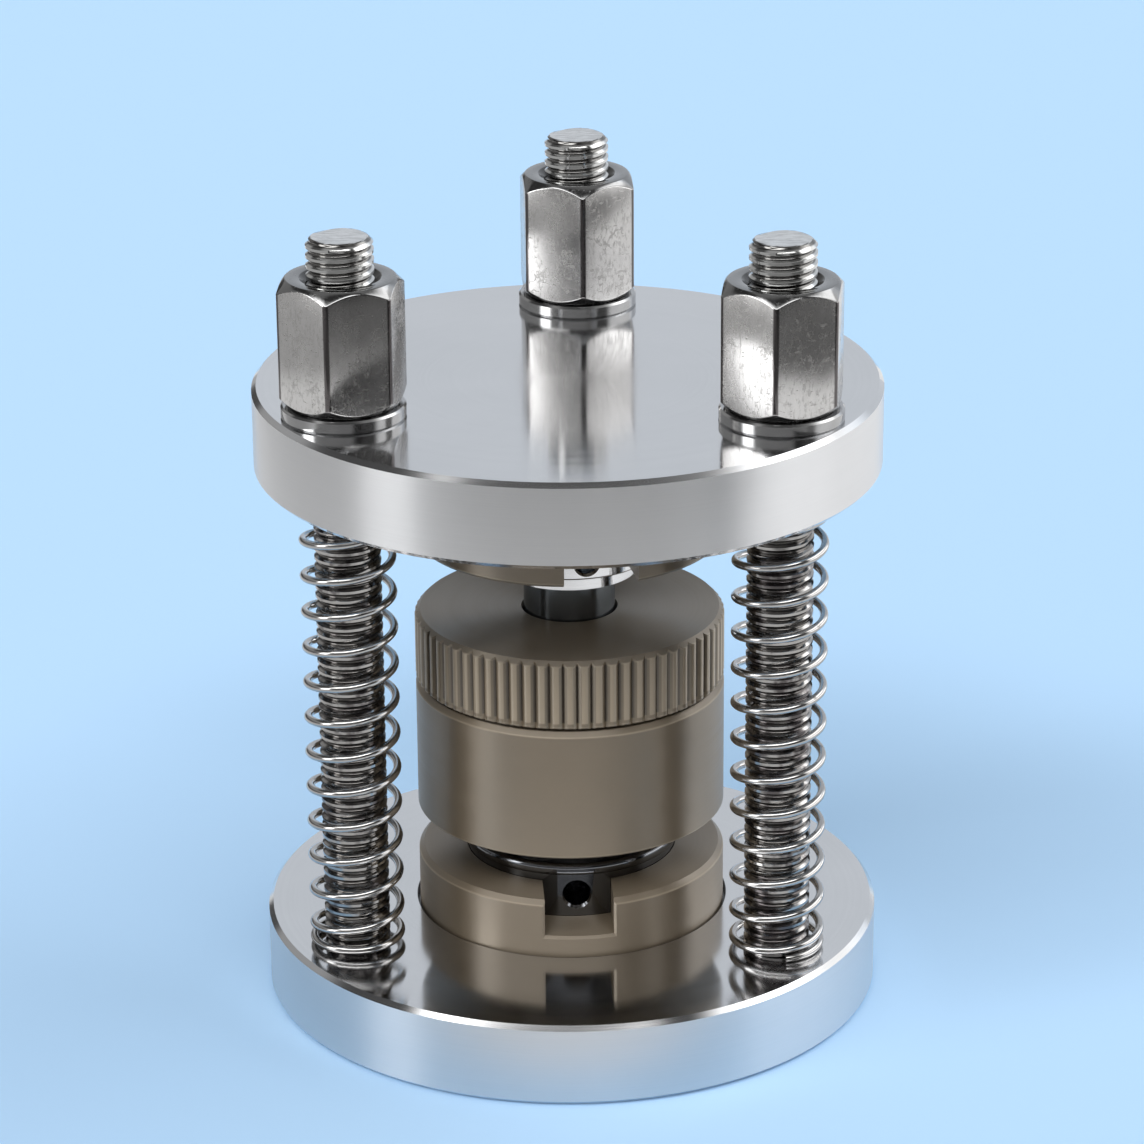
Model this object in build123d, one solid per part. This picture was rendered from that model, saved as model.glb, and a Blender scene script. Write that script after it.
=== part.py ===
"""Spring-loaded press mould for testing a solid-state battery cell.

Two round steel plates are held together by three threaded studs. A return spring round each stud
pushes the plates apart, and a tall nut with a washer on each stud pulls them together. Between them
stands an insulating cell with a fluted cap. The powder lies in a sleeve inside the cell, between the
punch of the lower electrode, which stands in an insulating cup on the lower plate, and the plunger of
the upper electrode, which hangs in an insulating holder under the upper plate.

Millimetres, Z up. The origin is on the main axis, at the underside of the lower plate. The cell's
diameters grow outwards from the plunger, and the heights grow upwards from the lower plate.
"""

import os
from math import cos, degrees, hypot, pi, radians, sin, tan

from build123d import *

# Plunger and powder chamber
plunger_d = 14.0
plunger_edge = 0.3
plunger_clearance = 0.05
punch_h = 6.8
punch_clearance = 0.03
chamber_h = 6.0

# Die sleeve
sleeve_wall_t = 5.0
sleeve_seat_w = 1.0
sleeve_clearance = 0.02

# Lower electrode, from its spigot down to its base
spigot_h = 4.0
spigot_clearance = 0.05
neck_shoulder_w = 3.0
neck_h = 4.2
flange_lip_w = 2.7
flange_t = 2.0
flange_edge = 0.8
base_step_w = 0.5
base_h = 8.0

# O-rings
ring_section_d = 1.8
ring_room = 0.02

# Cell body
cell_d = 47.5
body_h = 20.6
body_top_edge = 0.8
body_low_edge = 0.3
collar_h = 6.6
collar_edge = 0.6

# Fluted cap and the gland ring under it
cap_wall_t = 3.55
cap_web_t = 4.3
cap_seam = 0.6
cap_thread_clearance = 0.2
cap_hole_clearance = 0.4
cap_top_edge = 0.8
cap_low_edge = 0.3
flute_count = 69
flute_w = 1.05
flute_depth = 0.55
ridge_crown = 0.15
gland_h = 5.9
gland_proud = 0.5
gland_clearance = 0.05

# Lower insulating cup
cup_d = 47.5
cup_edge = 0.8
cup_floor_t = 3.0
cup_rim_gap = 1.0
cup_bore_clearance = 0.1
cup_slot_w = 10.5
cup_slot_turn = 5.4
cup_slot_edge = 0.4
cup_sill_drop = 3.6

# Upper electrode
press_room = 6.4
shoulder_d = 21.0
shoulder_t = 2.5
head_d = 26.0
head_h = 12.9
head_edge = 0.3

# Upper insulating holder
holder_d = 47.5
holder_edge = 0.5
holder_web_t = 3.0
holder_bore_clearance = 0.1
holder_slot_w = 11.3
holder_slot_turn = 14.5
holder_slot_rise = 7.0
head_bared_h = 3.0

# Plug sockets in the two electrodes
socket_d = 4.0
socket_flare = 0.4
lower_socket_drop = 3.2
lower_socket_depth = 12.0
upper_socket_rise = 2.9
upper_socket_depth = 10.0

# Plates
plate_t = 13.0
plate_edge = 0.7
recess_depth = 1.0
lower_recess_clearance = 0.4
upper_recess_clearance = 0.02

# Studs, named by where they stand, evenly spaced round the main axis
stud_places = ("rear", "left", "right")
first_stud_angle = 90.0
stud_d = 10.0
stud_from_cell = 13.25
stud_from_edge = 10.5
stud_foot_lift = 1.0
stud_past_nut = 6.0
stud_tip_edge = 0.8
stud_seat_clearance = 0.02
stud_guide_clearance = 0.25

# Washers
washer_d = 18.5
washer_t = 2.0
washer_edge = 0.3

# Nuts, with the turn of one corner of each from the front towards the right
nut_turns = {"rear": 8.0, "left": -8.0, "right": -6.0}
nut_sides = 6
nut_across_flats = 17.0
nut_h = 19.3
nut_corner_round = 0.7
nut_face_step = 0.45
nut_chamfer_angle = 45.0
nut_mouth_w = 1.0
nut_thread_clearance = 0.05

# Return springs, with the angle at which each wire starts on the lower plate
spring_starts = {"rear": 40.0, "left": 99.5, "right": -77.5}
spring_wire_d = 1.25
spring_room = 1.0
spring_end_turns = 1
spring_end_pitch = 1.3
spring_active_turns = 12

# Diameters that follow
sleeve_d = plunger_d + 2 * sleeve_wall_t
sleeve_bore_d = plunger_d + 2 * plunger_clearance
spigot_d = sleeve_d - 2 * sleeve_seat_w
neck_d = spigot_d + 2 * neck_shoulder_w
flange_d = neck_d + 2 * flange_lip_w
base_d = flange_d - 2 * base_step_w
cup_bore_d = base_d + 2 * cup_bore_clearance
holder_bore_d = head_d + 2 * holder_bore_clearance
well_d = sleeve_d + 2 * sleeve_clearance
well_mouth_d = spigot_d + 2 * spigot_clearance
cap_recess_d = cell_d - 2 * cap_wall_t
collar_d = cap_recess_d - 2 * cap_thread_clearance
stud_circle_d = cell_d + 2 * stud_from_cell
stud_step_angle = 360 / len(stud_places)
stud_angles = {place: first_stud_angle + i * stud_step_angle for i, place in enumerate(stud_places)}
plate_d = stud_circle_d + 2 * stud_from_edge
ring_groove_w = ring_section_d + 2 * ring_room

# Heights that follow, from the lower plate up
cup_low = plate_t - recess_depth
base_low = cup_low + cup_floor_t
flange_low = base_low + base_h
cup_rim = flange_low - cup_rim_gap
lower_socket = flange_low - lower_socket_drop
neck_low = flange_low + flange_t
body_low = neck_low + neck_h
spigot_top = body_low + spigot_h
punch_top = spigot_top + punch_h
plunger_low = punch_top + chamber_h
shoulder_top = body_low + body_h
collar_top = shoulder_top + collar_h
gland_top = collar_top + gland_proud
sleeve_top = gland_top - gland_h
cap_low = shoulder_top + cap_seam
cap_top = gland_top + cap_web_t
shoulder_ring_low = cap_top + press_room
head_low = shoulder_ring_low + shoulder_t
upper_socket = head_low + upper_socket_rise
head_top = head_low + head_h
holder_low = head_low + head_bared_h
holder_top = head_top + holder_web_t
upper_low = holder_top - recess_depth
upper_top = upper_low + plate_t
nut_low = upper_top + washer_t
nut_top = nut_low + nut_h
stud_tip = nut_top + stud_past_nut
past_face = 1.0
tolerance = 1e-6


def turned(*points):
    """Solid of revolution about the main axis from a closed outline of (radius, height) points."""
    outline = make_face(Polyline(*points, close=True))
    return revolve(Plane.XZ * outline, Axis.Z)


def disc(diameter, low, high, low_edge=0.0, high_edge=0.0):
    """Turned disc or rod, with a chamfer at its lower and its upper edge."""
    r = diameter / 2
    points = [(0, low), (r - low_edge, low)]
    if low_edge:
        points.append((r, low + low_edge))
    points.append((r, high - high_edge))
    if high_edge:
        points.append((r - high_edge, high))
    points.append((0, high))
    return turned(*points)


def through(diameter, low, high):
    """Cutter for a round hole that runs past the faces at these heights."""
    return disc(diameter, low - past_face, high + past_face)


def at_stud(shape, angle):
    """Moves a shape from the main axis to the stud at this angle."""
    r = stud_circle_d / 2
    return Pos(r * cos(radians(angle)), r * sin(radians(angle)), 0) * shape


def facing(shape, turn):
    """Turns a shape that faces the front by this angle towards the right."""
    return Rot(0, 0, turn) * shape


def plate(low, recess_d, recess_low, hole_d):
    """Round plate with a shallow recess for its insulator and a hole for each stud."""
    shape = disc(plate_d, low, low + plate_t, plate_edge, plate_edge)
    shape -= disc(recess_d, recess_low, recess_low + recess_depth)
    for angle in stud_angles.values():
        shape -= at_stud(through(hole_d, low, low + plate_t), angle)
    return shape


def bottom_plate():
    recess_d = cup_d + 2 * lower_recess_clearance
    return plate(0, recess_d, cup_low, stud_d + 2 * stud_seat_clearance)


def top_plate():
    recess_d = holder_d + 2 * upper_recess_clearance
    return plate(upper_low, recess_d, upper_low, stud_d + 2 * stud_guide_clearance)


def stud():
    return disc(stud_d, stud_foot_lift, stud_tip, stud_tip_edge, stud_tip_edge)


def washer():
    shape = disc(washer_d, upper_top, nut_low, washer_edge, washer_edge)
    return shape - through(stud_d + 2 * stud_guide_clearance, upper_top, nut_low)


def nut(turn):
    """Tall hexagon nut with rounded corners, chamfered ends and countersunk mouths."""
    corner_r = nut_across_flats / 2 / cos(pi / nut_sides)
    face_r = nut_across_flats / 2 - nut_face_step
    drop = (corner_r - face_r) * tan(radians(nut_chamfer_angle))
    bar = Pos(0, 0, nut_low) * extrude(RegularPolygon(corner_r, nut_sides, rotation=turn - 90), nut_h)
    bar = fillet(bar.edges().filter_by(Axis.Z), nut_corner_round)
    envelope = turned(
        (0, nut_low), (face_r, nut_low), (corner_r, nut_low + drop),
        (corner_r, nut_top - drop), (face_r, nut_top), (0, nut_top),
    )
    bore_r = stud_d / 2 + nut_thread_clearance
    mouth_r = bore_r + nut_mouth_w
    bore = turned(
        (0, nut_low), (mouth_r, nut_low), (bore_r, nut_low + nut_mouth_w),
        (bore_r, nut_top - nut_mouth_w), (mouth_r, nut_top), (0, nut_top),
    )
    return (bar & envelope) - bore


def coil(turns, pitch, low):
    """Round wire wound on a helix to the right, cut at both ends in the plane of the axis."""
    r = stud_d / 2 + spring_room + spring_wire_d / 2
    path = Pos(0, 0, low) * Helix(pitch=pitch, height=pitch * turns, radius=r)
    start = Plane(origin=(r, 0, low), x_dir=(1, 0, 0), z_dir=(0, 1, 0))
    return sweep(start * Circle(spring_wire_d / 2), path=path, is_frenet=True)


def spring(start):
    """Compression spring with its end turns closed, from plate to plate."""
    first = plate_t + spring_wire_d / 2
    last = upper_low - spring_wire_d / 2
    ends_h = spring_end_turns * spring_end_pitch
    pitch = (last - first - 2 * ends_h) / spring_active_turns
    shape = coil(spring_end_turns, spring_end_pitch, first)
    shape += coil(spring_active_turns, pitch, first + ends_h)
    shape += coil(spring_end_turns, spring_end_pitch, last - ends_h)
    return Rot(0, 0, start) * shape


def slot_cutter(width, reach, low, high):
    """Bar that cuts a slot in a cup's wall, towards the front."""
    return Pos(0, -reach / 2, (low + high) / 2) * Box(width, reach, high - low)


def lower_insulator():
    """Cup that keeps the lower electrode off the plate, with a slot in its wall for the plug."""
    sill = lower_socket - cup_sill_drop
    shape = disc(cup_d, cup_low, cup_rim, 0, cup_edge)
    shape -= disc(cup_bore_d, base_low, cup_rim + past_face)
    shape -= slot_cutter(cup_slot_w, cup_d, sill, cup_rim + past_face)
    lip = []
    for edge in shape.edges():
        middle = edge @ 0.5
        on_side = abs(hypot(middle.X, middle.Y) - cup_d / 2) < tolerance
        in_slot = middle.Y < 0 and abs(middle.X) < cup_slot_w / 2 + tolerance
        if on_side and in_slot and sill - tolerance < middle.Z < cup_rim - cup_edge - tolerance:
            lip.append(edge)
    return facing(chamfer(lip, cup_slot_edge), cup_slot_turn)


def socket_cutter(face_d, depth, height):
    """Blind bore for a plug, countersunk where it opens on a round face towards the front."""
    r = socket_d / 2
    low_end = (Align.CENTER, Align.CENTER, Align.MIN)
    shape = Cylinder(r, depth, align=low_end)
    shape += Pos(0, 0, depth - socket_flare) * Cone(
        r, r + socket_flare + past_face, socket_flare + past_face, align=low_end)
    return Pos(0, depth - face_d / 2, height) * Rot(90, 0, 0) * shape


def lower_electrode():
    """Turned foot with a flange, a neck that carries the cell body, a grooved spigot and a punch."""
    groove_low = body_low + (spigot_h - ring_groove_w) / 2
    groove_r = well_mouth_d / 2 - ring_groove_w
    flange_middle = (flange_low + neck_low) / 2
    base_r = base_d / 2
    neck_r = neck_d / 2
    spigot_r = spigot_d / 2
    punch_r = plunger_d / 2 - punch_clearance
    shape = turned(
        (0, base_low), (base_r, base_low), (base_r, flange_middle), (neck_r, flange_middle),
        (neck_r, body_low), (spigot_r, body_low), (spigot_r, groove_low), (groove_r, groove_low),
        (groove_r, groove_low + ring_groove_w), (spigot_r, groove_low + ring_groove_w),
        (spigot_r, spigot_top), (punch_r, spigot_top), (punch_r, punch_top), (0, punch_top),
    )
    flange = disc(flange_d, flange_low, neck_low)
    rims = flange.edges().filter_by(GeomType.CIRCLE)
    shape += fillet(rims, min(flange_edge, 0.45 * flange_t))
    return shape - facing(socket_cutter(base_d, lower_socket_depth, lower_socket), cup_slot_turn)


def o_ring(inner_d, low):
    """Ring of round section that stands on a seat at this height."""
    r = ring_section_d / 2
    section = Pos(inner_d / 2 + r, 0, low + r) * Rot(90, 0, 0) * Circle(r)
    return revolve(section, Axis.Z)


def lower_o_ring():
    groove_d = well_mouth_d - 2 * ring_groove_w
    return o_ring(groove_d + 2 * ring_room, body_low + (spigot_h - ring_section_d) / 2)


def upper_o_ring():
    return o_ring(plunger_d + 2 * ring_room, sleeve_top)


def cell_body():
    """Insulating barrel with a stepped well and a collar that carries the cap's thread."""
    outer_r = cell_d / 2
    collar_r = collar_d / 2
    well_r = well_d / 2
    mouth_r = well_mouth_d / 2
    return turned(
        (mouth_r, body_low), (outer_r - body_low_edge, body_low), (outer_r, body_low + body_low_edge),
        (outer_r, shoulder_top - body_top_edge), (outer_r - body_top_edge, shoulder_top),
        (collar_r, shoulder_top), (collar_r, collar_top - collar_edge), (collar_r - collar_edge, collar_top),
        (well_r, collar_top), (well_r, spigot_top), (mouth_r, spigot_top),
    )


def die_sleeve():
    """Hard insulating tube in which the powder is pressed between the punch and the plunger."""
    return disc(sleeve_d, spigot_top, sleeve_top) - through(sleeve_bore_d, spigot_top, sleeve_top)


def gland_ring():
    """Ring between the sleeve and the cap, with a rebate that holds the upper O-ring."""
    shape = disc(well_d - 2 * gland_clearance, sleeve_top, gland_top)
    shape -= through(plunger_d + 2 * gland_clearance, sleeve_top, gland_top)
    return shape - disc(plunger_d + 2 * (ring_room + ring_groove_w), sleeve_top, sleeve_top + ring_groove_w)


def fluted_bar(low, high):
    """Round bar with straight V flutes all round and crowned ridges, outlined as one face and extruded."""
    r = cell_d / 2
    shoulder_r = r - ridge_crown
    step = 360 / flute_count
    half = degrees(flute_w / cell_d)
    outline = []
    for i in range(flute_count):
        angle = i * step - 90
        start = Vector(shoulder_r, 0).rotate(Axis.Z, angle - half)
        root = Vector(r - flute_depth, 0).rotate(Axis.Z, angle)
        end = Vector(shoulder_r, 0).rotate(Axis.Z, angle + half)
        ridge = Vector(r, 0).rotate(Axis.Z, angle + step / 2)
        following = Vector(shoulder_r, 0).rotate(Axis.Z, angle + step - half)
        outline += [Line(start, root), Line(root, end), ThreePointArc(end, ridge, following)]
    return Pos(0, 0, low) * extrude(make_face(outline), high - low)


def cell_cap():
    """Screwed cap with a fluted rim, a recess for the collar and a hole for the plunger."""
    shape = fluted_bar(cap_low, cap_top) & disc(cell_d, cap_low, cap_top, cap_low_edge, cap_top_edge)
    shape -= disc(cap_recess_d, cap_low - past_face, gland_top)
    return shape - through(plunger_d + 2 * cap_hole_clearance, cap_low, cap_top)


def upper_electrode():
    """Head with a plug socket, a shoulder that stops on the cap, and the polished plunger."""
    head_r = head_d / 2
    shoulder_r = shoulder_d / 2
    plunger_r = plunger_d / 2
    shape = turned(
        (0, plunger_low), (plunger_r - plunger_edge, plunger_low), (plunger_r, plunger_low + plunger_edge),
        (plunger_r, shoulder_ring_low), (shoulder_r, shoulder_ring_low), (shoulder_r, head_low),
        (head_r - head_edge, head_low), (head_r, head_low + head_edge), (head_r, head_top), (0, head_top),
    )
    return shape - facing(socket_cutter(head_d, upper_socket_depth, upper_socket), holder_slot_turn)


def upper_insulator():
    """Holder that keeps the upper electrode off the plate, with a slot in its wall for the plug."""
    shape = disc(holder_d, holder_low, holder_top, holder_edge, 0)
    shape -= disc(holder_bore_d, holder_low - past_face, head_top)
    slot = slot_cutter(holder_slot_w, holder_d, holder_low - past_face, upper_socket + holder_slot_rise)
    return shape - facing(slot, holder_slot_turn)


def pieces():
    """Every piece in its place, by its name."""
    made = {
        "bottom_plate": bottom_plate(),
        "top_plate": top_plate(),
        "lower_insulator": lower_insulator(),
        "lower_electrode": lower_electrode(),
        "lower_o_ring": lower_o_ring(),
        "cell_body": cell_body(),
        "die_sleeve": die_sleeve(),
        "upper_o_ring": upper_o_ring(),
        "gland_ring": gland_ring(),
        "cell_cap": cell_cap(),
        "upper_electrode": upper_electrode(),
        "upper_insulator": upper_insulator(),
    }
    for place, angle in stud_angles.items():
        made["stud_" + place] = at_stud(stud(), angle)
        made["washer_" + place] = at_stud(washer(), angle)
        made["nut_" + place] = at_stud(nut(nut_turns[place]), angle)
        made["spring_" + place] = at_stud(spring(spring_starts[place]), angle)
    return made


if __name__ == "__main__":
    os.makedirs("parts", exist_ok=True)
    for name, piece in pieces().items():
        export_step(piece, f"parts/{name}.step")
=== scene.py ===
"""Looks of a spring-loaded press mould for testing a solid-state battery cell.

Metres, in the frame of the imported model: Z up, the main axis at the origin, the front towards -Y.
The solids of the frame keep their shape and get their finish here. The studs, springs and nuts are
made again as meshes, with their threads, drawn wire and rounded corners.
"""

from math import ceil, cos, pi, radians, sin, tan

import bmesh
import bpy
from mathutils import Matrix, Vector


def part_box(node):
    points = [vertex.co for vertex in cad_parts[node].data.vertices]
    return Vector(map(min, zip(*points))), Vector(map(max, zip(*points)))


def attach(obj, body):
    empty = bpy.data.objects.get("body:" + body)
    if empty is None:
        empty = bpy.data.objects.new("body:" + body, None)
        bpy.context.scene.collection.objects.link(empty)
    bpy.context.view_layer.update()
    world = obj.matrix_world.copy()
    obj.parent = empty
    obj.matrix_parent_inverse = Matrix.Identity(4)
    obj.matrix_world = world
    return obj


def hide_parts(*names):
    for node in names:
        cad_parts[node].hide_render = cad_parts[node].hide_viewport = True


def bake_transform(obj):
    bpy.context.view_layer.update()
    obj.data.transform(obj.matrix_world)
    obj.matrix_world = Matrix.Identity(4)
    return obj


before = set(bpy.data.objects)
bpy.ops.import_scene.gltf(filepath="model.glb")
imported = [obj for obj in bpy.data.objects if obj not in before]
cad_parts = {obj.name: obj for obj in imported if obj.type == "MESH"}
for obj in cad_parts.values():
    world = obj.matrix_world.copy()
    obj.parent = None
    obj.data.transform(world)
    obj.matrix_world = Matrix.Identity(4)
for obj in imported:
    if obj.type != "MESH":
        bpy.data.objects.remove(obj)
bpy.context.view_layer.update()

mm = 0.001
main_axis = Vector((0, 0, 0))
places = ("rear", "left", "right")

# Points of a mesh that lie closer together than this are joined
merge_distance = 0.0005 * mm

# Stud threads, with spare turns past each end, which are drawn in to close its flat face
stud_radius = 5.0 * mm
thread_pitch = 1.5 * mm
thread_steps = 48
thread_spare_turns = 2
thread_sharp_from = radians(38)
tip_chamfer = 0.8 * mm
# Depth under the crest in millimetres, at shares of one pitch from root to root
thread_profile = (
    (0.0, 0.60), (0.09, 0.56), (0.16, 0.45), (0.32, 0.08), (0.365, 0.0),
    (0.635, 0.0), (0.68, 0.08), (0.84, 0.45), (0.91, 0.56),
)

# Return springs, with the angle at which each wire starts on the lower plate
spring_starts = {"rear": 40.0, "left": 99.5, "right": -77.5}
wire_radius = 1.25 * mm / 2
wire_sides = 14
spring_end_pitch = 1.3 * mm
spring_end_turns = 1
spring_active_turns = 12
spring_ease_turns = 0.12
spring_steps = 48
spring_sharp_from = radians(50)

# Nuts, with the turn of one corner of each from the front towards the right
nut_turns = {"rear": 8.0, "left": -8.0, "right": -6.0}
nut_across_flats = 17.0 * mm
nut_face_step = 0.45 * mm
nut_corner_round = 0.7 * mm
nut_corner_reach = (nut_across_flats / 2 - nut_corner_round) / cos(pi / 6) + nut_corner_round
nut_corner_steps = 8
nut_side_steps = 12
nut_edge_round = 0.13 * mm
nut_chamfer_angle = radians(45)
nut_bore_radius = 5.05 * mm
nut_mouth = 1.0 * mm
nut_mouth_radius = nut_bore_radius + nut_mouth
nut_sharp_from = radians(32)

# Radius of the painted shadow line round the lower plate's seat, and one past the rim, for the plate
# without one
seat_radius = 24.0 * mm
past_rim = 60.0 * mm

# Insulators, with the heights of their edges, which get painted highlight lines
insulator_radius = 23.75 * mm
edge_highlight_heights = [height * mm for height in (21.2, 29.5, 49.0, 50.7, 60.4, 73.6)]

# How light the steel of each electrode is painted: the lower one dark, as painted shade for its place under
# the cell body
electrode_painted_brightness = {"lower": 0.20, "upper": 0.78}

# Where a finish, a painted light or a painted shade changes, from the distance or height where it starts to
# the one where it is complete
# Painted shadow line round the seat
seat_shadow_line = (0.30 * mm, 0.18 * mm)
# Painted shade in the roots of the thread
thread_root_shade = (stud_radius - 0.26 * mm, stud_radius - 0.50 * mm)
# Painted light on the thread from where the nut runs up to the tip, which leaves the thread below it darker
# as shade
thread_tip_light = (96 * mm, 102 * mm)
# Painted dark reflection along the nut's corners
nut_corner_shade = (nut_corner_reach - 0.187 * mm, nut_corner_reach - 0.067 * mm)
# Painted shade in the nut's countersunk mouths
nut_mouth_shade = (nut_mouth_radius + 0.05 * mm, nut_mouth_radius - 0.10 * mm)
# Plunger, painted dark and bluish as the dark reflection it shows
plunger_side = (7.4 * mm, 7.1 * mm)
plunger_foot = (35 * mm, 36 * mm)
# Painted highlight lines along the insulators' edges
edge_highlight_line = (0.22 * mm, 0.05 * mm)
edge_highlight_rim = (insulator_radius - 0.50 * mm, insulator_radius - 0.10 * mm)
flutes_foot = (51.2 * mm, 51.4 * mm)
flutes_top = (60.6 * mm, 60.3 * mm)
# Painted shade in the flutes, and painted highlight on the ridges between them
flute_bottoms = (insulator_radius - 0.26 * mm, insulator_radius - 0.48 * mm)
flute_ridges = (insulator_radius - 0.16 * mm, insulator_radius - 0.06 * mm)

# Camera, in the place of the photograph's
camera_place = Vector((27.37, -616.92, 304.60)) * mm
camera_target = Vector((0.4326, 0.0189, 66.507)) * mm
camera_roll = radians(-0.438)
camera_lens = 136.264
camera_sensor = 36.0
camera_near = 0.01

# Studio walls and lamps: azimuth, half width of the even middle and of the whole, foot and top, in degrees
rear_wall = (76, 26, 42, -4, 46)
left_strip = (-154, 6, 14, 0, 30)
right_strip = (12, 26, 42, 0, 50)
lamp_box = (-102, 42, 66, 44, 54)
dark_front = (-90, 26, 48, -30, 32)
belt_gap = (-46, 14, 28, 0, 40)

# Belt of wall round the studio: the degrees between which its foot brightens and its top fades
belt_foot = (8, 13)
belt_top = (36, 29)

# Ceiling, in parts of a direction of length 1: up, and towards the rear
ceiling_up = (0.78, 0.90)
ceiling_rear = (-0.30, -0.10)

# Strength of the studio's light, and what the dark front and the belt in the right strip take from it
room_light = 0.08
rear_light = 0.66
left_light = 4.6
right_light = 3.1
belt_light = 0.30
ceiling_light = 0.30
lamp_box_light = 7.1
front_loss = 0.06
right_belt_loss = 2.2

# Studio floor
floor_radius = 2.5
floor_sides = 96

# Sheet of paper on it, which leans along the line of sight and widens to the rear, for each metre
paper_lean = 0.044
paper_widening = 0.138
paper_sides = (0.115, 0.095)
paper_front_lean = 0.0277
paper_front = (-0.0640, -0.0598)

# Where the floor's grey round the paper changes, as painted light and shade for what the steel mirrors
floor_light_rightwards = (-0.10, 0.15)
floor_shade_far_front = (-0.205, -0.235)
floor_shade_far_left = (-0.25, -0.31)
floor_shade_corner_right = (0.20, 0.235)
floor_shade_corner_front = (-0.13, -0.17)


class Value:
    """A number or colour that varies over a surface. Arithmetic on it adds the Math nodes."""

    def __init__(self, shading, socket):
        self.shading = shading
        self.socket = socket

    def math(self, operation, *terms):
        return self.shading.node("ShaderNodeMath", {"operation": operation}, dict(enumerate(terms)))

    def __add__(self, other):
        return self.math("ADD", self, other)

    def __radd__(self, other):
        return self.math("ADD", other, self)

    def __sub__(self, other):
        return self.math("SUBTRACT", self, other)

    def __rsub__(self, other):
        return self.math("SUBTRACT", other, self)

    def __mul__(self, other):
        return self.math("MULTIPLY", self, other)

    def __rmul__(self, other):
        return self.math("MULTIPLY", other, self)

    def __truediv__(self, other):
        return self.math("DIVIDE", self, other)

    def __pow__(self, other):
        return self.math("POWER", self, other)

    def __abs__(self):
        return self.math("ABSOLUTE", self)


class Shading:
    """The nodes of one material, or of the world."""

    def __init__(self, owner):
        owner.use_nodes = True
        self.tree = owner.node_tree
        self.tree.nodes.clear()

    def node(self, kind, settings=None, inputs=None, output=0):
        """Adds a node, with its settings first and then the values or links of its sockets."""
        made = self.tree.nodes.new(kind)
        for name, value in (settings or {}).items():
            setattr(made, name, value)
        for name, value in (inputs or {}).items():
            if isinstance(value, Value):
                self.tree.links.new(value.socket, made.inputs[name])
            else:
                made.inputs[name].default_value = value
        return Value(self, made.outputs[output]) if made.outputs else None

    def place(self):
        """Where a point lies in the piece, which is its place in the frame at rest."""
        return self.node("ShaderNodeTexCoord", output="Object")

    def parts(self, vector):
        """The X, Y and Z of a vector."""
        split = self.node("ShaderNodeSeparateXYZ", {}, {"Vector": vector}).socket.node
        return [Value(self, socket) for socket in split.outputs]

    def joined(self, x, y, z):
        return self.node("ShaderNodeCombineXYZ", {}, {"X": x, "Y": y, "Z": z})

    def stretched(self, vector, x, y, z):
        """A vector with each of its parts times its own factor, such as the grains in a metre."""
        return self.node("ShaderNodeVectorMath", {"operation": "MULTIPLY"}, {0: vector, 1: (x, y, z)})

    def step(self, value, low, high):
        """A smooth rise from 0 at low to 1 at high, or a fall from 1 to 0 where low is above high."""
        limits = {"Value": value, "From Min": low, "From Max": high}
        return self.node("ShaderNodeMapRange", {"interpolation_type": "SMOOTHSTEP"}, limits)

    def noise(self, vector, detail=2.0, roughness=0.5):
        """Soft noise about one unit of the vector in size, around 0.5."""
        inputs = {"Vector": vector, "Scale": 1.0, "Detail": detail, "Roughness": roughness}
        return self.node("ShaderNodeTexNoise", {}, inputs)

    def mix(self, factor, first, second):
        """The first colour at 0, and the second at 1."""
        return self.node("ShaderNodeMix", {"data_type": "RGBA"}, {0: factor, 6: first, 7: second}, 2)

    def lies_flat(self):
        """1 where the surface lies flat, and 0 where it stands upright."""
        normal = self.node("ShaderNodeNewGeometry", output="True Normal")
        return abs(self.parts(normal)[2])

    def bump(self, height, distance, strength=1.0):
        inputs = {"Height": height, "Distance": distance, "Strength": strength}
        return self.node("ShaderNodeBump", {}, inputs, "Normal")


def colour(red, green, blue):
    return (red, green, blue, 1.0)


def grey(shade):
    return colour(shade, shade, shade)


def finished(name, build, *details):
    """A material whose surface is one shader, with the sockets that its build function gives."""
    material = bpy.data.materials.new(name)
    shading = Shading(material)
    shader = shading.node("ShaderNodeBsdfPrincipled", {}, build(shading, *details))
    shading.node("ShaderNodeOutputMaterial", {}, {"Surface": shader})
    return material


def from_axis(shading, vector, centre):
    """Distance of a point from the upright axis through a centre."""
    x, y, z = shading.parts(vector)
    return ((x - centre.x) ** 2 + (y - centre.y) ** 2) ** 0.5


def plate_steel(shading, seat_shadow_radius):
    """Plate with lathe-polished faces, a satin rim and a painted shadow line round what is let into it."""
    point = shading.place()
    x, y, z = shading.parts(point)
    flat = shading.lies_flat()
    face = shading.step(flat, 0.8, 0.95)
    rim = shading.step(flat, 0.5, 0.3)
    radius = from_axis(shading, point, main_axis)
    rings = shading.noise(shading.joined(radius * 2600, x * 9, y * 9), 3.0, 0.6)
    turning = shading.noise(shading.stretched(point, 25, 25, 5200), 3.0, 0.65)
    smudge = shading.noise(shading.stretched(point, 38, 38, 38), 3.0, 0.55)
    marks = rings * face + turning * (1 - face)
    tint = marks * 0.35 + smudge * 0.65
    # Painted shadow in the gap round what is let into the plate, darkening its face there
    seat_shadow = shading.step(abs(radius - seat_shadow_radius), *seat_shadow_line)
    steel = shading.mix(tint, colour(0.60, 0.61, 0.62), colour(0.76, 0.76, 0.77))
    return {
        "Base Color": shading.mix(seat_shadow * face, steel, grey(0.02)),
        "Metallic": 1.0,
        "Roughness": 0.10 + rim * 0.20 + (marks - 0.5) * 0.07 + (smudge - 0.5) * 0.05,
        "Anisotropic": 0.88,
        "Anisotropic Rotation": 0.25,
        "Normal": shading.bump(marks, 0.004 * mm, 0.15),
    }


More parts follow.
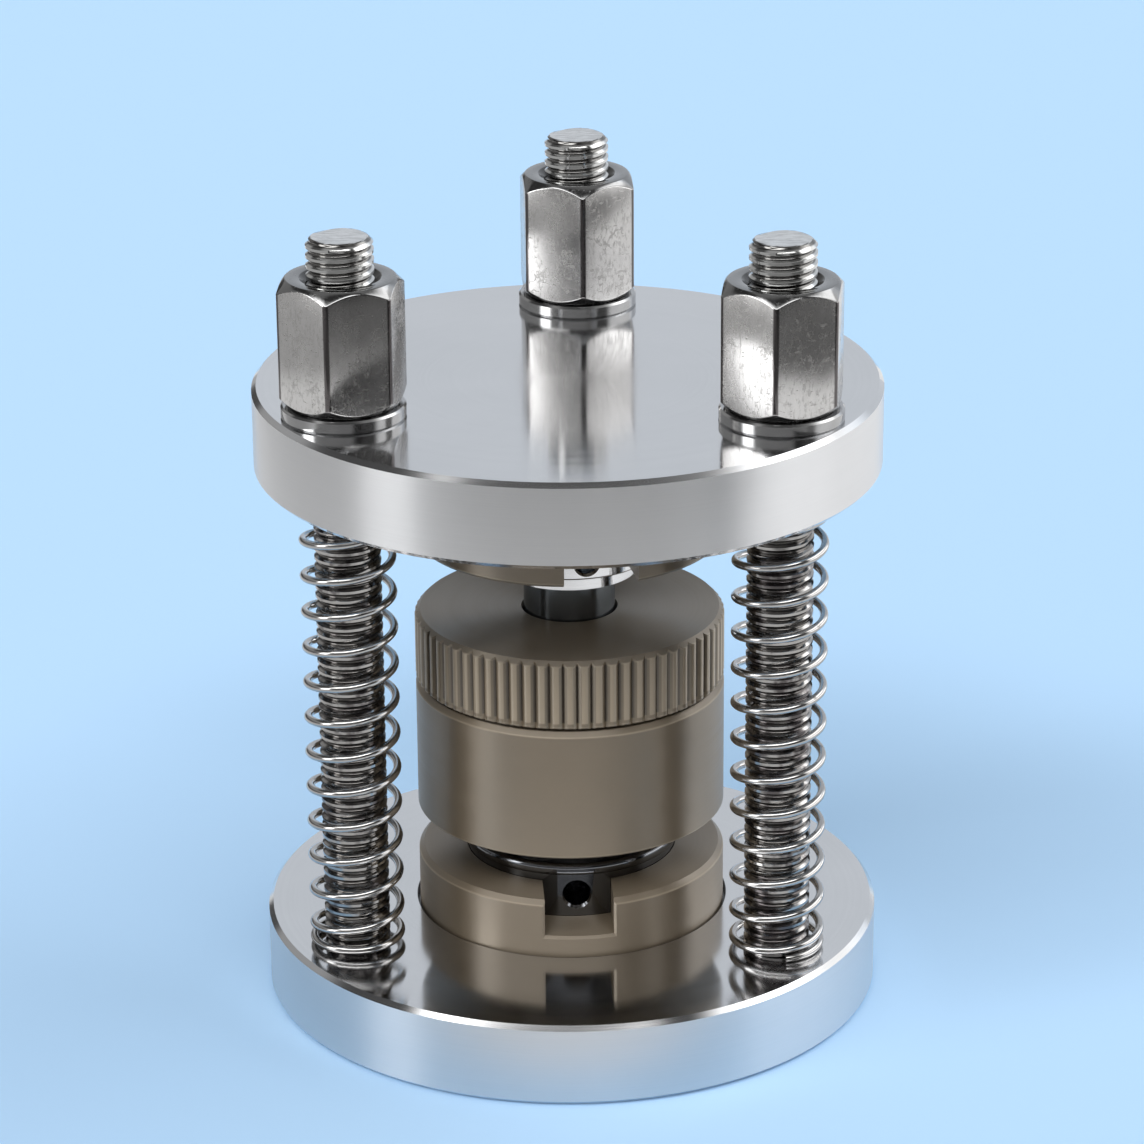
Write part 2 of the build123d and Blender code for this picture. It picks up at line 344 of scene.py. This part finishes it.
def thread_steel(shading, centre):
    """Bright rolled thread with dirt, painted shade in its roots, painted light where the dirt stops from
    where the nut runs, and sawn ends.
    """
    point = shading.place()
    height = shading.parts(point)[2]
    # Painted shade in the roots, and painted light from where the nut runs up to the tip
    root_shade = shading.step(from_axis(shading, point, centre), *thread_root_shade)
    tip_light = shading.step(height, *thread_tip_light)
    rolled = shading.noise(shading.stretched(point, 500, 500, 2600), 2.0)
    dirt = shading.noise(shading.stretched(point, 240, 240, 240), 4.0, 0.6)
    cut = shading.step(shading.lies_flat(), 0.95, 0.99)
    sawn = shading.noise(shading.stretched(point, 500, 1900, 500), 3.0, 0.6)
    dull = shading.step(dirt, 0.48, 0.64) * (1 - cut) + shading.step(sawn, 0.35, 0.65) * cut * 0.3
    painted_light = shading.mix(tip_light, colour(0.40, 0.39, 0.38), colour(0.66, 0.66, 0.65))
    painted_light = shading.mix(root_shade * 0.8, painted_light, colour(0.07, 0.065, 0.06))
    bright = shading.mix(cut, painted_light, colour(0.76, 0.76, 0.75))
    return {
        "Base Color": shading.mix(dull * (1 - tip_light * (1 - cut)), bright, colour(0.11, 0.10, 0.10)),
        "Metallic": 1.0,
        "Roughness": 0.07 + rolled * 0.08 + dull * 0.10,
        "Normal": shading.bump(rolled, 0.01 * mm, 0.3),
    }


def wire_steel(shading):
    """Bright drawn spring wire with dark specks."""
    point = shading.place()
    drawn = shading.noise(shading.stretched(point, 350, 350, 2200), 2.0)
    specks = shading.step(shading.noise(shading.stretched(point, 900, 900, 900), 3.0), 0.62, 0.78)
    return {
        "Base Color": shading.mix(specks, colour(0.47, 0.46, 0.45), colour(0.22, 0.21, 0.20)),
        "Metallic": 1.0,
        "Roughness": 0.10 + drawn * 0.10 + specks * 0.15,
        "Normal": shading.bump(drawn, 0.01 * mm, 0.25),
    }


def washer_steel(shading, centre):
    """Punched washer with fine rings and uneven wear."""
    point = shading.place()
    x, y, z = shading.parts(point)
    radius = from_axis(shading, point, centre)
    rings = shading.noise(shading.joined(radius * 4000, x * 60, y * 60), 2.0)
    wear = shading.noise(shading.stretched(point, 300, 300, 300), 3.0)
    return {
        "Base Color": shading.mix(wear, grey(0.36), grey(0.54)),
        "Metallic": 1.0,
        "Roughness": 0.08 + rings * 0.12,
        "Normal": shading.bump(rings, 0.006 * mm, 0.3),
    }


def nut_steel(shading, centre):
    """Cold-drawn hexagon bar: faint streaks, pits, nicks and wrinkles; painted shade on corners, mouths and
    turned ends.
    """
    point = shading.place()
    radius = from_axis(shading, point, centre)
    # Painted dark reflection along the rounded corners, and painted shade in the mouth
    corner = shading.step(radius, *nut_corner_shade)
    mouth = shading.step(radius, *nut_mouth_shade)
    turned = shading.step(shading.lies_flat(), 0.2, 0.4)
    streaks = shading.noise(shading.stretched(point, 1100, 1100, 60), 4.0, 0.6)
    fine = shading.noise(shading.stretched(point, 3600, 3600, 500), 3.0, 0.6)
    pits = shading.step(shading.noise(shading.stretched(point, 2300, 2300, 800), 3.0, 0.6), 0.54, 0.62)
    nicks = shading.step(shading.noise(shading.stretched(point, 620, 620, 1700), 3.0, 0.55), 0.62, 0.65)
    stains = shading.noise(shading.stretched(point, 210, 210, 150), 4.0, 0.6)
    fold = shading.noise(shading.stretched(point, 560, 560, 380), 3.0, 0.6)
    patch = shading.step(shading.noise(shading.stretched(point, 190, 190, 150), 2.0), 0.42, 0.58)
    wrinkles = shading.step(abs(fold - 0.5), 0.034, 0.010) * patch
    marks = pits * 0.35 + nicks * 0.5 + wrinkles * 0.5
    tint = streaks * 0.35 + stains * 0.65 - marks
    bare = shading.mix(tint, colour(0.47, 0.46, 0.45), colour(0.76, 0.75, 0.74))
    # Turned ends and chamfers painted darker as shade for the dark front they mirror, the mouth darker
    # still
    ends = shading.mix(turned, bare, grey(0.27))
    ends = shading.mix(mouth, ends, grey(0.09))
    haze = (stains - 0.5) * 0.14
    return {
        "Base Color": shading.mix(corner * (1 - turned), ends, colour(0.13, 0.12, 0.12)),
        "Metallic": 1.0,
        "Roughness": 0.17 + fine * 0.04 + haze + marks * 0.2 - turned * 0.10 - corner * 0.08,
        "Anisotropic": 0.3,
        "Normal": shading.bump(streaks * 0.25 + fine * 0.10 - marks, 0.014 * mm, 0.18),
    }


def electrode_steel(shading, painted_brightness):
    """Turned and polished electrode with hair-fine tool rings; painted shade on the lower one and on the
    bluish plunger.
    """
    point = shading.place()
    x, y, z = shading.parts(point)
    flat = shading.step(shading.lies_flat(), 0.8, 0.95)
    radius = from_axis(shading, point, main_axis)
    rings = shading.noise(shading.joined(radius * 3800, x * 30, y * 30), 2.0)
    turning = shading.noise(shading.stretched(point, 40, 40, 4200), 2.0)
    marks = rings * flat + turning * (1 - flat)
    haze = shading.noise(shading.stretched(point, 120, 120, 120), 3.0)
    # Plunger painted dark and bluish as a dark reflection
    painted_dark_plunger = shading.step(radius, *plunger_side) * shading.step(z, *plunger_foot)
    # Steel as light as painted for each electrode, dark as painted shade on the lower one
    steel = shading.mix(haze, colour(painted_brightness - 0.06, painted_brightness - 0.05, painted_brightness - 0.03), grey(painted_brightness))
    return {
        "Base Color": shading.mix(painted_dark_plunger, steel, colour(0.27, 0.30, 0.33)),
        "Metallic": 1.0,
        "Roughness": 0.05 + marks * 0.07 + haze * 0.03 + painted_dark_plunger * 0.10,
        "Anisotropic": 0.85,
        "Anisotropic Rotation": 0.25,
        "Normal": shading.bump(marks, 0.004 * mm, 0.2),
    }


def cell_plastic(shading):
    """Turned insulator: warm grey-brown with tool rings, painted highlights on edges and ridges, painted
    shade in flutes.
    """
    point = shading.place()
    x, y, z = shading.parts(point)
    face = shading.step(shading.lies_flat(), 0.8, 0.95)
    radius = from_axis(shading, point, main_axis)
    rings = shading.noise(shading.joined(radius * 2400, x * 15, y * 15), 3.0, 0.6)
    turning = shading.noise(shading.stretched(point, 18, 18, 3600), 3.0, 0.6)
    marks = rings * face + turning * (1 - face)
    cloud = shading.noise(shading.stretched(point, 70, 70, 110), 4.0, 0.55)
    grain = shading.noise(shading.stretched(point, 2200, 2200, 2200), 2.0)
    # Paler lines along the edges, painted as the highlight an edge catches
    line = 0
    for height in edge_highlight_heights:
        line = line + shading.step(abs(z - height), *edge_highlight_line)
    painted_light = line * shading.step(radius, *edge_highlight_rim) * cloud
    fluted = shading.step(z, *flutes_foot) * shading.step(z, *flutes_top)
    # Painted shade in the flutes, painted highlight on their ridges
    flute_shade = shading.step(radius, *flute_bottoms) * fluted
    ridge_highlight = shading.step(radius, *flute_ridges) * fluted
    tint = cloud * 0.7 + marks * 0.2 + grain * 0.1
    body = shading.mix(tint, colour(0.115, 0.090, 0.062), colour(0.182, 0.146, 0.102))
    body = shading.mix(flute_shade, body, colour(0.020, 0.016, 0.012))
    body = shading.mix(ridge_highlight, body, colour(0.340, 0.280, 0.205))
    return {
        "Base Color": shading.mix(painted_light, body, colour(0.36, 0.30, 0.22)),
        "Roughness": 0.42 + (marks - 0.5) * 0.16 + (cloud - 0.5) * 0.10,
        "IOR": 1.7,
        "Specular IOR Level": 1.0,
        "Specular Tint": colour(1.0, 0.90, 0.77),
        "Anisotropic": 0.9,
        "Anisotropic Rotation": 0.25,
        "Normal": shading.bump(marks * 0.7 + grain * 0.3, 0.02 * mm, 0.35),
    }


def sleeve_ceramic(shading):
    """Ground ceramic sleeve."""
    point = shading.place()
    cloud = shading.noise(shading.stretched(point, 90, 90, 90), 3.0)
    ground = shading.noise(shading.stretched(point, 60, 60, 5000), 2.0)
    return {
        "Base Color": shading.mix(cloud, colour(0.86, 0.84, 0.80), colour(0.93, 0.92, 0.89)),
        "Roughness": 0.28 + ground * 0.14,
        "Normal": shading.bump(ground, 0.01 * mm, 0.3),
    }


def seal_rubber(shading):
    """Moulded black seal with a trace of bloom."""
    point = shading.place()
    bloom = shading.noise(shading.stretched(point, 260, 260, 260), 4.0, 0.6)
    return {
        "Base Color": shading.mix(bloom, colour(0.018, 0.018, 0.019), colour(0.050, 0.050, 0.052)),
        "Roughness": 0.45 + bloom * 0.2,
        "Normal": shading.bump(bloom, 0.02 * mm, 0.3),
    }


def middle(node):
    low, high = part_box(node)
    return (low + high) / 2


def dressed(node, material):
    """Gives a solid of the frame its finish."""
    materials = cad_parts[node].data.materials
    materials.clear()
    materials.append(material)


def made(name, points, faces, material, sharp_from):
    """A smooth-shaded mesh piece, with sharp edges from an angle up."""
    mesh = bpy.data.meshes.new(name)
    mesh.from_pydata(points, [], faces)
    shape = bmesh.new()
    shape.from_mesh(mesh)
    bmesh.ops.remove_doubles(shape, verts=shape.verts, dist=merge_distance)
    bmesh.ops.recalc_face_normals(shape, faces=shape.faces)
    shape.to_mesh(mesh)
    shape.free()
    mesh.shade_smooth()
    mesh.set_sharp_from_angle(angle=sharp_from)
    mesh.materials.append(material)
    piece = bpy.data.objects.new(name, mesh)
    bpy.context.scene.collection.objects.link(piece)
    return piece


def threaded_stud(place, material):
    """Stud with a rolled thread over its length, which dies out at its flat, chamfered ends."""
    node = "stud_" + place
    low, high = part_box(node)
    centre = middle(node)
    radius = (high.x - low.x) / 2
    flat_radius = radius - tip_chamfer
    start = low.z - thread_spare_turns * thread_pitch
    turns = ceil((high.z - low.z) / thread_pitch) + 2 * thread_spare_turns
    points = []
    for i in range(turns * thread_steps + 1):
        angle = 2 * pi * i / thread_steps
        for share, depth in thread_profile:
            height = start + (i / thread_steps + share) * thread_pitch
            inside = min(height - low.z, high.z - height)
            if inside > 0:
                r = min(radius - depth * mm, flat_radius + inside)
            else:
                r = flat_radius * max(0.0, 1 + inside / thread_pitch)
            height = min(max(height, low.z), high.z)
            points.append((centre.x + r * cos(angle), centre.y + r * sin(angle), height))
    per_turn = len(thread_profile)
    faces = []
    for i in range((turns - 1) * thread_steps):
        for j in range(per_turn):
            here = i * per_turn + j
            above = here + 1 if j < per_turn - 1 else (i + thread_steps) * per_turn
            faces.append((here, here + per_turn, above + per_turn, above))
    piece = made("threaded_stud_" + place, points, faces, material, thread_sharp_from)
    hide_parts(node)
    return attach(piece, "base")


def coil_height(turn, active_pitch):
    """Height of the wire's middle after a number of turns, with closed turns at both ends."""
    first = min(turn, spring_end_turns)
    active = min(max(turn - spring_end_turns, 0), spring_active_turns)
    last = max(turn - spring_end_turns - spring_active_turns, 0)
    return (first + last) * spring_end_pitch + active * active_pitch


def return_spring(place, material):
    """Round wire wound to the right round a stud, from plate to plate."""
    node = "spring_" + place
    low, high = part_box(node)
    centre = middle(node)
    coil_radius = (high.x - low.x) / 2 - wire_radius
    turns = 2 * spring_end_turns + spring_active_turns
    wire_rise = high.z - low.z - 2 * wire_radius
    active_pitch = (wire_rise - 2 * spring_end_turns * spring_end_pitch) / spring_active_turns
    points = []
    for i in range(turns * spring_steps + 1):
        turn = i / spring_steps
        before = max(turn - spring_ease_turns, 0)
        after = min(turn + spring_ease_turns, turns)
        below = coil_height(before, active_pitch)
        above = coil_height(after, active_pitch)
        if before > 0 and after < turns:
            lift = (below + above) / 2
        else:
            lift = coil_height(turn, active_pitch)
        angle = radians(spring_starts[place]) + 2 * pi * turn
        out = Vector((cos(angle), sin(angle), 0))
        rise = (above - below) / (2 * pi * coil_radius * (after - before))
        along = Vector((-sin(angle), cos(angle), rise)).normalized()
        up = out.cross(along)
        wire_middle = centre + coil_radius * out
        wire_middle.z = low.z + wire_radius + lift
        for j in range(wire_sides):
            around = 2 * pi * j / wire_sides
            points.append(wire_middle + wire_radius * (cos(around) * out + sin(around) * up))
    faces = []
    for i in range(turns * spring_steps):
        for j in range(wire_sides):
            here = i * wire_sides + j
            beside = i * wire_sides + (j + 1) % wire_sides
            faces.append((here, here + wire_sides, beside + wire_sides, beside))
    faces.append(tuple(range(wire_sides)))
    faces.append(tuple(range(len(points) - wire_sides, len(points))))
    piece = made("coil_" + place, points, faces, material, spring_sharp_from)
    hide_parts(node)
    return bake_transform(piece)


def hexagon_outline(turn):
    """Points round a hexagon with rounded corners, one corner turned from the front."""
    arc_centre = nut_corner_reach - nut_corner_round
    outline = []
    for corner in range(6):
        corner_angle = radians(turn - 90) + corner * pi / 3
        centre = arc_centre * Vector((cos(corner_angle), sin(corner_angle)))
        for k in range(nut_corner_steps + 1):
            angle = corner_angle + (k / nut_corner_steps - 0.5) * pi / 3
            outline.append(centre + nut_corner_round * Vector((cos(angle), sin(angle))))
    full = []
    for i, point in enumerate(outline):
        full.append(point)
        following = outline[(i + 1) % len(outline)]
        if (following - point).length > nut_corner_round:
            full += [point.lerp(following, k / nut_side_steps) for k in range(1, nut_side_steps)]
    return full


def tall_nut(place, material):
    """Tall hexagon nut with turned, chamfered ends, countersunk mouths and slightly rounded corners."""
    node = "nut_" + place
    low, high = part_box(node)
    centre = middle(node)
    face_radius = nut_across_flats / 2 - nut_face_step
    slope = tan(nut_chamfer_angle)
    soft = nut_edge_round
    half = (high.z - low.z) / 2
    outline = hexagon_outline(nut_turns[place])
    points = []
    for corner in outline:
        reach = corner.length
        out = corner / reach
        drop = (reach - face_radius) * slope
        # From the bore over the mouth, the flat face and the chamfer to the side
        upper = [
            (nut_bore_radius, half - nut_mouth - soft),
            (nut_bore_radius + 0.3 * soft, half - nut_mouth + 0.5 * soft),
            (nut_mouth_radius - soft, half - soft),
            (nut_mouth_radius + soft, half),
            (face_radius - soft, half),
            (face_radius, half - 0.3 * soft * slope),
            (face_radius + soft, half - soft * slope),
            (reach - 0.8 * soft, half - drop + 0.6 * soft * slope),
            (reach - 0.25 * soft, half - drop - 0.3 * soft),
            (reach, half - drop - 1.2 * soft),
        ]
        column = upper + [(r, -z) for r, z in reversed(upper)]
        for r, z in column:
            points.append((centre.x + r * out.x, centre.y + r * out.y, centre.z + z))
    tall = len(column)
    faces = []
    for i in range(len(outline)):
        following = (i + 1) % len(outline)
        for j in range(tall):
            above = (j + 1) % tall
            faces.append((i * tall + j, i * tall + above, following * tall + above, following * tall + j))
    piece = made("tall_nut_" + place, points, faces, material, nut_sharp_from)
    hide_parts(node)
    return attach(piece, place + "_nut")


def studio_light():
    """Dim studio: a bright strip at each side, soft walls and ceiling and a long lamp box high in front."""
    world = bpy.data.worlds.new("studio")
    bpy.context.scene.world = world
    shading = Shading(world)
    x, y, z = shading.parts(shading.node("ShaderNodeTexCoord", output="Generated"))
    level = (x ** 2 + y ** 2) ** 0.5

    def climb(low, high):
        """A smooth rise or fall between two elevations in degrees."""
        return shading.step(z, sin(radians(low)), sin(radians(high)))

    def wall(azimuth, core, edge, foot, top):
        """1 within core degrees of an azimuth from foot to top, fading to 0 at edge degrees."""
        towards = (x * cos(radians(azimuth)) + y * sin(radians(azimuth))) / level
        beside = shading.step(towards, cos(radians(edge)), cos(radians(core)))
        return beside * climb(foot - 8, foot + 4) * climb(top + 10, top - 8)

    rear = wall(*rear_wall)
    belt = climb(*belt_foot) * climb(*belt_top)
    ceiling = shading.step(z, *ceiling_up) * shading.step(y, *ceiling_rear)
    strength = room_light + rear * rear_light + wall(*left_strip) * left_light
    strength = strength + wall(*right_strip) * (right_light - belt * right_belt_loss)
    strength = strength - wall(*dark_front) * front_loss
    strength = strength + belt * (1 - rear) * (1 - wall(*belt_gap)) * belt_light
    strength = strength + ceiling * ceiling_light + wall(*lamp_box) * lamp_box_light
    tinted = shading.mix(rear, grey(1.0), colour(0.93, 0.98, 1.05))
    background = shading.node("ShaderNodeBackground", {}, {"Color": tinted, "Strength": strength})
    shading.node("ShaderNodeOutputWorld", {}, {"Surface": background})


def floor_paint():
    """Pale blue paper on grey with painted light and shade, for the eye and for mirrors. Other light meets
    one plain grey.
    """
    material = bpy.data.materials.new("floor_paint")
    shading = Shading(material)
    x, y, z = shading.parts(shading.place())
    beside = abs(x + y * paper_lean) - y * paper_widening
    paper = shading.step(beside, *paper_sides) * shading.step(y - x * paper_front_lean, *paper_front)
    # Painted shade on the floor: a dark patch at the right front, darker grey far in front and far to the
    # left; paler to the right as painted light
    corner = shading.step(x, *floor_shade_corner_right) * shading.step(y, *floor_shade_corner_front)
    paint = shading.mix(shading.step(x, *floor_light_rightwards), grey(0.82), grey(0.93))
    paint = shading.mix(shading.step(y, *floor_shade_far_front), paint, grey(0.24))
    paint = shading.mix(corner, paint, grey(0.13))
    paint = shading.mix(shading.step(x, *floor_shade_far_left), paint, grey(0.42))
    paint = shading.mix(paper, paint, colour(0.50, 0.735, 1.0))
    seen = 0
    for ray in ("Is Camera Ray", "Is Glossy Ray", "Is Transmission Ray"):
        seen = seen + shading.node("ShaderNodeLightPath", output=ray)
    paint = shading.mix(shading.step(seen, 0.0, 1.0), grey(0.30), paint)
    shader = shading.node("ShaderNodeBsdfDiffuse", {}, {"Color": paint})
    shading.node("ShaderNodeOutputMaterial", {}, {"Surface": shader})
    return material


def studio_floor():
    """Round floor with a sheet of paper on it, which runs just out of the view on all sides."""
    points = []
    for i in range(floor_sides):
        angle = 2 * pi * i / floor_sides
        points.append((floor_radius * cos(angle), floor_radius * sin(angle), 0))
    mesh = bpy.data.meshes.new("floor")
    mesh.from_pydata(points, [], [tuple(range(floor_sides))])
    mesh.materials.append(floor_paint())
    floor = bpy.data.objects.new("floor", mesh)
    bpy.context.scene.collection.objects.link(floor)


def studio_camera():
    camera = bpy.data.objects.new("camera", bpy.data.cameras.new("camera"))
    bpy.context.scene.collection.objects.link(camera)
    camera.data.lens = camera_lens
    camera.data.sensor_width = camera_sensor
    camera.data.clip_start = camera_near
    aim = (camera_target - camera_place).to_track_quat("-Z", "Y").to_matrix().to_4x4()
    camera.matrix_world = Matrix.Translation(camera_place) @ aim @ Matrix.Rotation(camera_roll, 4, "Z")
    bpy.context.scene.camera = camera


dressed("bottom_plate", finished("plate_steel_lower", plate_steel, seat_radius))
dressed("top_plate", finished("plate_steel_upper", plate_steel, past_rim))
plastic = finished("cell_plastic", cell_plastic)
for node in ("lower_insulator", "upper_insulator", "cell_body", "cell_cap", "gland_ring"):
    dressed(node, plastic)
for end, painted_brightness in electrode_painted_brightness.items():
    dressed(end + "_electrode", finished("electrode_steel_" + end, electrode_steel, painted_brightness))
dressed("die_sleeve", finished("sleeve_ceramic", sleeve_ceramic))
rubber = finished("seal_rubber", seal_rubber)
for node in ("lower_o_ring", "upper_o_ring"):
    dressed(node, rubber)
wire = finished("wire_steel", wire_steel)
for place in places:
    dressed("washer_" + place, finished("washer_steel_" + place, washer_steel, middle("washer_" + place)))
    threaded_stud(place, finished("thread_steel_" + place, thread_steel, middle("stud_" + place)))
    return_spring(place, wire)
    tall_nut(place, finished("nut_steel_" + place, nut_steel, middle("nut_" + place)))

studio_light()
studio_floor()
studio_camera()
bpy.context.scene.view_settings.view_transform = "Standard"
